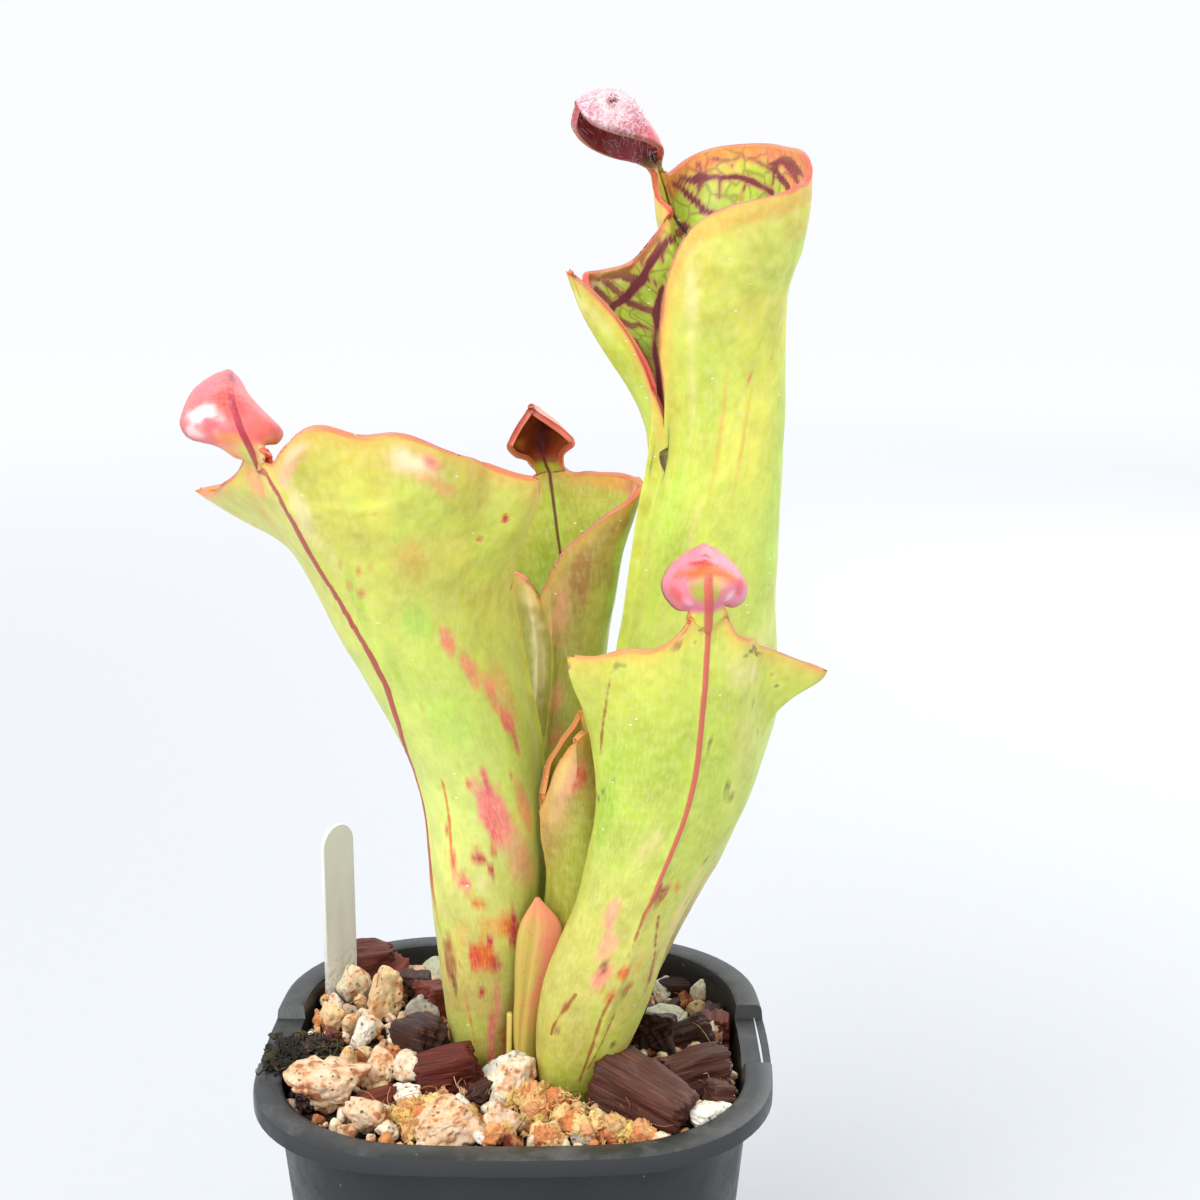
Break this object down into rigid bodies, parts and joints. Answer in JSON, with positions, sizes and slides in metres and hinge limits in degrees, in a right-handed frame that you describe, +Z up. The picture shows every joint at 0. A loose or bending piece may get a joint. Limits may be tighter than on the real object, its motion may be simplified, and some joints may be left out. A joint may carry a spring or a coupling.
{
  "type": "potted sun pitcher plant",
  "caption": "Cluster of upright tubular pitcher leaves with small hooded nectar spoons, growing in a square tapered nursery pot of pumice and husk mix with a plant label.",
  "frame": {"origin": "centre of the pot's underside", "axes": "+Z up; -Y towards the viewer of the picture; +X to the viewer's right"},
  "size_m": [0.1055, 0.09, 0.2492],
  "materials": {
    "pot_plastic": "satin black moulded plastic, a little paler and dusty on the rim",
    "potting_mix": "cream pumice with rust stains, red-brown husk chips and dry moss",
    "rhizome_bark": "rough brown plant tissue",
    "pitcher_leaf": "satin yellow-green plant tissue with coral rims and red veins",
    "young_leaf": "satin orange-pink plant tissue",
    "bract": "thin papery yellow plant tissue",
    "label_plastic": "plain white plastic"
  },
  "bodies": {
    "root": {"pot": "pot_plastic", "soil": "potting_mix", "rhizome": "rhizome_bark", "pitcher_left": "pitcher_leaf", "pitcher_tall": "pitcher_leaf", "pitcher_rear": "pitcher_leaf", "pitcher_front": "pitcher_leaf", "pitcher_small": "pitcher_leaf", "young_leaf": "young_leaf", "bract": "bract", "plant_label": "label_plastic"}
  },
  "joints": []
}
